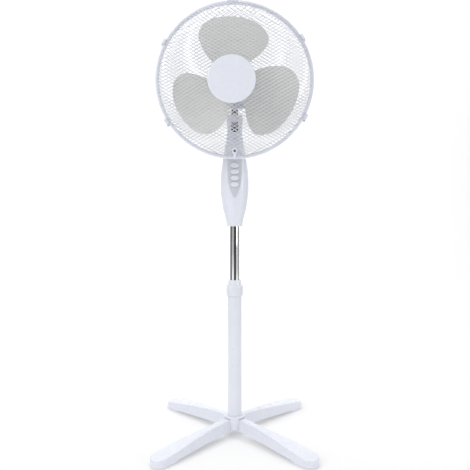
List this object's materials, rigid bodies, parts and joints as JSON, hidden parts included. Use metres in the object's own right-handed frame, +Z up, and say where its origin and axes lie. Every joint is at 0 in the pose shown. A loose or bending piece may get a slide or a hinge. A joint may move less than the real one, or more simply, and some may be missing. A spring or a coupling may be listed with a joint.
{
  "type": "pedestal fan",
  "caption": "Oscillating pedestal fan with a domed wire mesh guard, three wide blades, push-button housing, telescoping chrome tube and a crossed four-leg base.",
  "frame": {"origin": "on the floor, under the pole's axis", "axes": "+Z up along the pole; the fan blows towards -Y; +X to the right of a viewer who faces the fan"},
  "size_m": [0.4304, 0.4304, 1.2173],
  "materials": {
    "white_plastic": "smooth moulded plastic, cool white",
    "inner_plastic": "plain moulded plastic",
    "panel_grey": "fine moulded grain, mid grey",
    "blade_grey": "slightly translucent moulded plastic, warm grey",
    "rubber": "matt rubber",
    "painted_tube": "white powder coat",
    "painted_wire": "white coated steel wire",
    "chrome_tube": "bright chrome plate",
    "dark_plastic": "dark glass-filled plastic",
    "steel": "zinc-plated steel",
    "black_steel": "black coated steel",
    "laminated_steel": "stacked steel sheet",
    "copper": "varnished copper and bronze",
    "cast_alloy": "die-cast alloy"
  },
  "bodies": {
    "base": {"base_bar_lower": "white_plastic", "base_bar_upper": "white_plastic", "foot_pads": "rubber", "base_cover": "white_plastic", "base_bolt": "steel", "base_washer": "steel", "pole_plug": "inner_plastic", "outer_pole": "painted_tube", "pole_sleeve": "white_plastic", "grip_collet": "inner_plastic"},
    "lock_collar": {"lock_collar": "white_plastic"},
    "mast": {"inner_tube": "chrome_tube", "tube_guide": "inner_plastic", "housing_front": "white_plastic", "housing_rear": "white_plastic", "control_panel": "panel_grey", "switch_body": "inner_plastic", "housing_screws": "steel", "cord_grommet": "rubber", "run_capacitor": "inner_plastic", "tube_clamp": "inner_plastic", "spine_bracket": "black_steel", "tilt_bolt": "steel", "tilt_nut": "steel"},
    "button_1": {"button_1": "white_plastic"},
    "button_2": {"button_2": "white_plastic"},
    "button_3": {"button_3": "white_plastic"},
    "button_4": {"button_4": "white_plastic"},
    "knuckle": {"tilt_knuckle": "dark_plastic", "swivel_washer": "inner_plastic"},
    "swing_link": {"swing_link": "steel"},
    "head": {"gear_case": "cast_alloy", "motor_bell": "white_plastic", "motor_cover": "white_plastic", "bell_screws": "steel", "motor_end_plate": "steel", "motor_stator": "laminated_steel", "stator_coils": "copper", "shaft_bushes": "copper", "rear_guard_plate": "white_plastic", "rear_guard_mesh": "painted_wire", "rear_guard_rim": "white_plastic", "guard_nut": "white_plastic", "front_guard_mesh": "painted_wire", "front_guard_rim": "white_plastic", "badge": "white_plastic", "badge_backing": "inner_plastic", "clip_screw": "steel"},
    "worm_wheel": {"worm_wheel": "inner_plastic"},
    "crank": {"crank_gear": "inner_plastic"},
    "clutch_knob": {"clutch_knob": "white_plastic"},
    "rotor": {"motor_shaft": "steel", "motor_rotor": "laminated_steel", "drive_pin": "steel", "fan_blade": "blade_grey", "blade_nut": "blade_grey"},
    "clip_upper_right": {"guard_clip_upper_right": "white_plastic"},
    "clip_upper_left": {"guard_clip_upper_left": "white_plastic"},
    "clip_lower_left": {"guard_clip_lower_left": "white_plastic"},
    "clip_lower_right": {"guard_clip_lower_right": "white_plastic"}
  },
  "joints": [
    {"name": "collar_twist", "type": "hinge", "parent": "base", "child": "lock_collar", "pos_m": [0, 0, 0.412], "axis": [0, 0, 1], "range_deg": [0, 120]},
    {"name": "height_slide", "type": "slide", "parent": "base", "child": "mast", "axis": [0, 0, 1], "range_m": [-0.14, 0.11]},
    {"name": "tilt", "type": "hinge", "parent": "mast", "child": "knuckle", "pos_m": [0, 0, 0.895], "axis": [-1, 0, 0], "range_deg": [-10, 15]},
    {"name": "oscillate", "type": "hinge", "parent": "knuckle", "child": "head", "pos_m": [0, 0, 0.95], "axis": [0, 0, 1], "range_deg": [-37, 37]},
    {"name": "link_swing", "type": "hinge", "parent": "knuckle", "child": "swing_link", "pos_m": [0, 0.015, 0.9274], "axis": [0, 0, 1], "range_deg": [-64.75, 64.75]},
    {"name": "blade_spin", "type": "hinge", "parent": "head", "child": "rotor", "pos_m": [0, -0.106, 0.996], "axis": [0, -1, 0], "continuous": true},
    {"name": "worm_wheel_spin", "type": "hinge", "parent": "head", "child": "worm_wheel", "pos_m": [0.012, 0.037, 0.98], "axis": [0, 0, 1], "continuous": true},
    {"name": "crank_spin", "type": "hinge", "parent": "head", "child": "crank", "pos_m": [-0.004, 0.044, 0.95], "axis": [0, 0, 1], "continuous": true},
    {"name": "clutch_pull", "type": "slide", "parent": "head", "child": "clutch_knob", "axis": [0, 0, 1], "range_m": [0, 0.008]},
    {"name": "button_1_press", "type": "slide", "parent": "mast", "child": "button_1", "axis": [0, 1, 0], "range_m": [0, 0.004], "stiffness_N_per_m": 300},
    {"name": "button_2_press", "type": "slide", "parent": "mast", "child": "button_2", "axis": [0, 1, 0], "range_m": [0, 0.004], "stiffness_N_per_m": 300},
    {"name": "button_3_press", "type": "slide", "parent": "mast", "child": "button_3", "axis": [0, 1, 0], "range_m": [0, 0.004], "stiffness_N_per_m": 300},
    {"name": "button_4_press", "type": "slide", "parent": "mast", "child": "button_4", "axis": [0, 1, 0], "range_m": [0, 0.004], "stiffness_N_per_m": 300},
    {"name": "clip_upper_right_swing", "type": "hinge", "parent": "head", "child": "clip_upper_right", "pos_m": [0.18403, -0.103, 1.11099], "axis": [-0.5299, 0, 0.848], "range_deg": [0, 100]},
    {"name": "clip_upper_left_swing", "type": "hinge", "parent": "head", "child": "clip_upper_left", "pos_m": [-0.1916, -0.103, 1.09788], "axis": [-0.4695, 0, -0.8829], "range_deg": [0, 100]},
    {"name": "clip_lower_left_swing", "type": "hinge", "parent": "head", "child": "clip_lower_left", "pos_m": [-0.18403, -0.103, 0.88101], "axis": [0.5299, 0, -0.848], "range_deg": [0, 100]},
    {"name": "clip_lower_right_swing", "type": "hinge", "parent": "head", "child": "clip_lower_right", "pos_m": [0.1916, -0.103, 0.89412], "axis": [0.4695, 0, 0.8829], "range_deg": [0, 100]}
  ],
  "couplings": [
    {"joint": "worm_wheel_spin", "follows": "blade_spin", "ratio": 0.05},
    {"joint": "crank_spin", "follows": "blade_spin", "ratio": -0.010714},
    {"joint": "link_swing", "follows": "oscillate", "ratio": 1.75}
  ]
}
